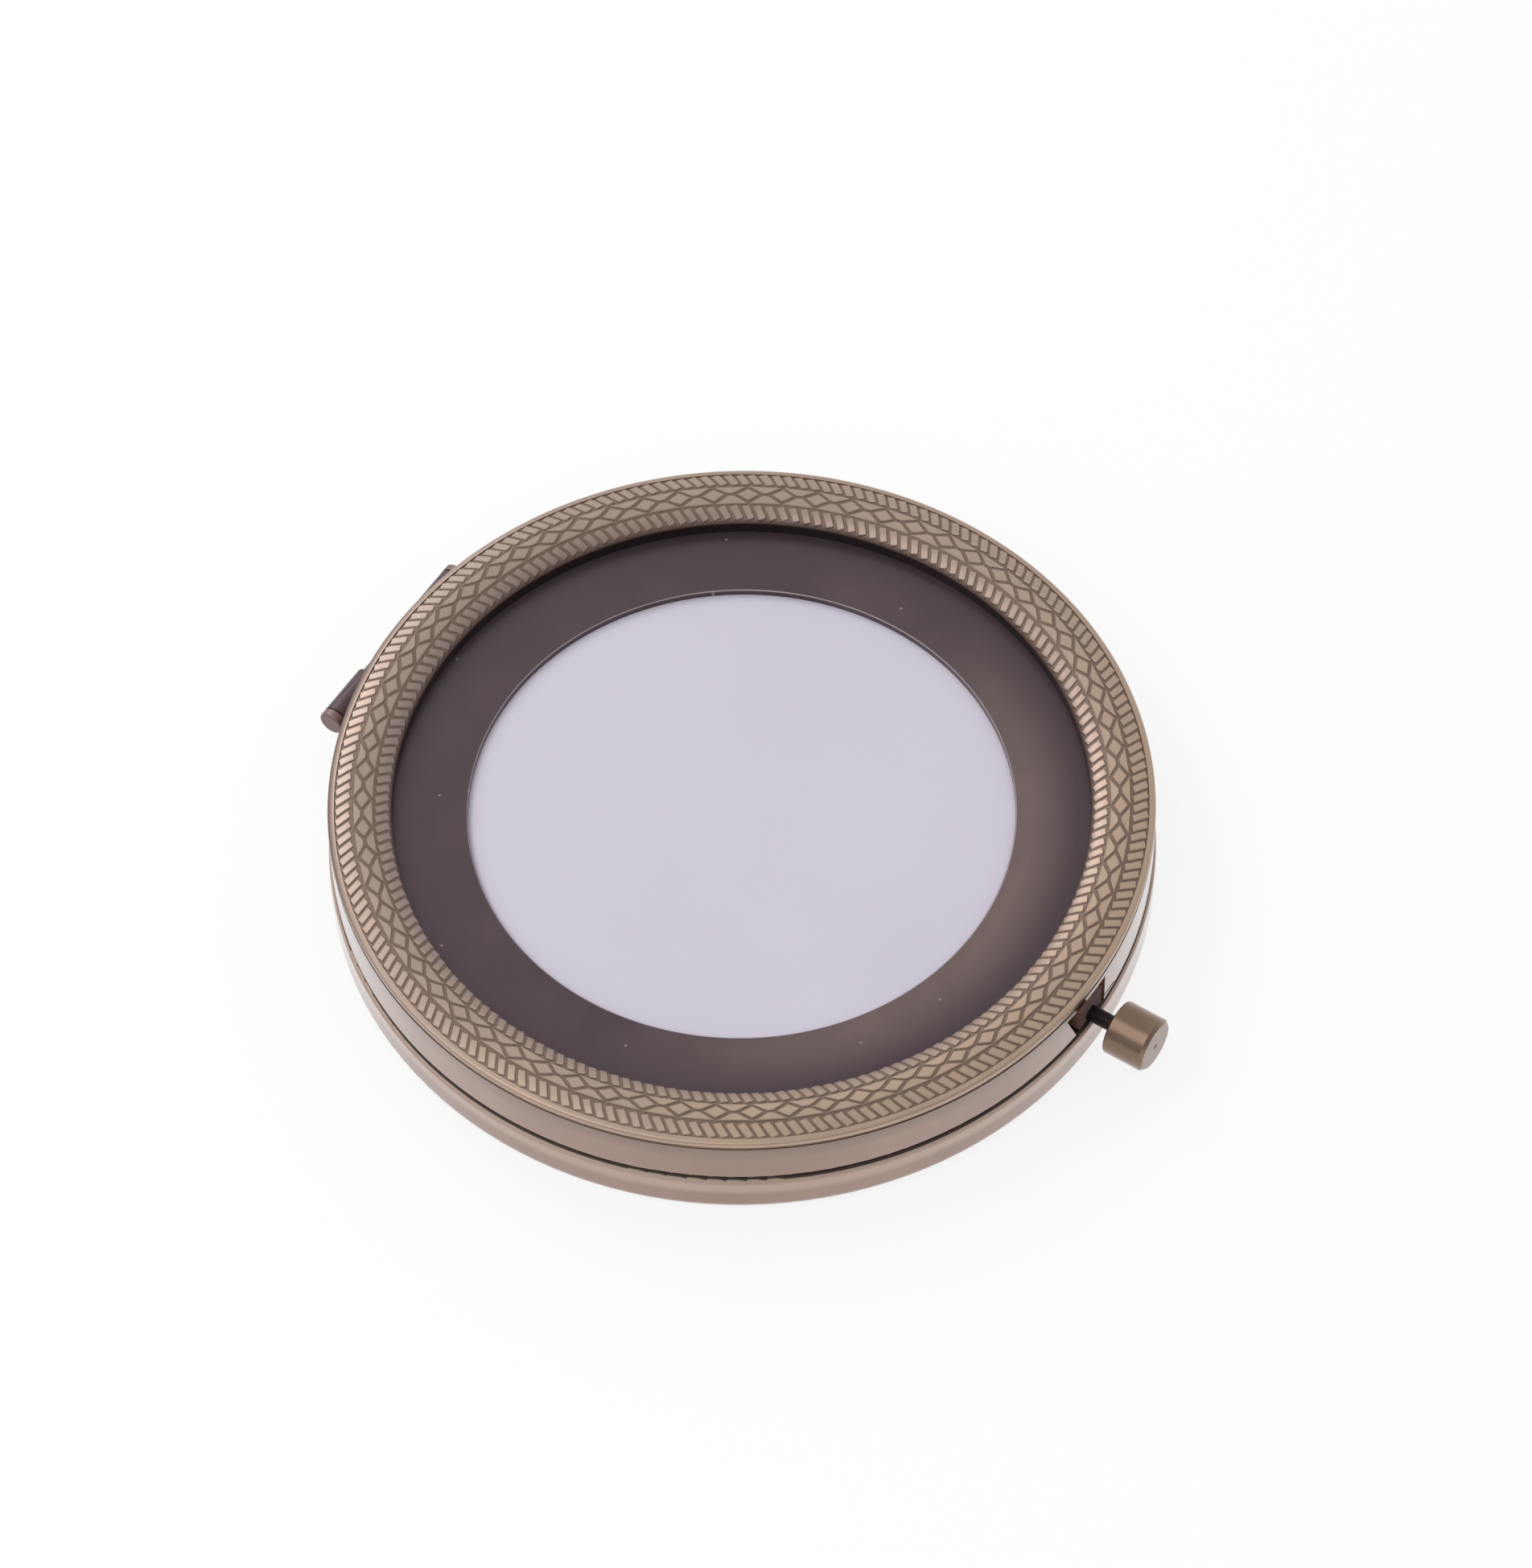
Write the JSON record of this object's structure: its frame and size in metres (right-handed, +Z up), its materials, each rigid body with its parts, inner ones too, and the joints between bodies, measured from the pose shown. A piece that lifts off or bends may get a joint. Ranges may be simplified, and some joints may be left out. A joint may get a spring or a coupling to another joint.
{
  "type": "compact mirror",
  "caption": "Round folding pocket mirror in aged brass with a braided ring, a recessed window in the lid, a barrel hinge and a push-button latch.",
  "frame": {"origin": "middle of the flat underside of the base", "axes": "+Z up through the lid, +Y towards the hinge, -Y towards the push button, +X along the hinge pin"},
  "size_m": [0.0704, 0.0782, 0.0099],
  "materials": {
    "aged_brass": "antique bronze plating, rubbed back on the raised parts",
    "dark_brass": "dark brown patina, satin",
    "mirror_glass": "silvered glass with a ground edge",
    "pale_plastic": "pale lilac sheet, smooth and matt",
    "adhesive_tape": "white foam tape",
    "blackened_steel": "black oxide, satin",
    "spring_steel": "plain sheet steel"
  },
  "bodies": {
    "base": {"base_shell": "aged_brass", "base_mirror_tape": "adhesive_tape", "base_mirror_glass": "mirror_glass", "base_mirror_frame": "aged_brass", "latch_guide": "spring_steel", "latch_spring": "spring_steel", "base_knuckle_left": "dark_brass", "base_knuckle_right": "dark_brass", "hinge_pin": "aged_brass", "hinge_pin_cap": "aged_brass"},
    "lid": {"lid_band": "aged_brass", "lid_ring": "aged_brass", "lid_tray": "dark_brass", "backing_disc": "pale_plastic", "lid_mirror_tape": "adhesive_tape", "lid_mirror_glass": "mirror_glass", "lid_mirror_frame": "aged_brass", "lid_keeper": "aged_brass", "lid_knuckle": "dark_brass"},
    "button": {"button_knob": "aged_brass", "button_stem": "blackened_steel", "latch_plate": "dark_brass"}
  },
  "joints": [
    {"name": "lid_hinge", "type": "hinge", "parent": "base", "child": "lid", "pos_m": [0, 0.036, 0.0043], "axis": [-1, 0, 0], "range_deg": [0, 150]},
    {"name": "button_press", "type": "slide", "parent": "base", "child": "button", "axis": [0, 1, 0], "range_m": [0, 0.0009], "stiffness_N_per_m": 1200, "springref_m": -0.0006, "deforming": ["latch_spring"]}
  ]
}
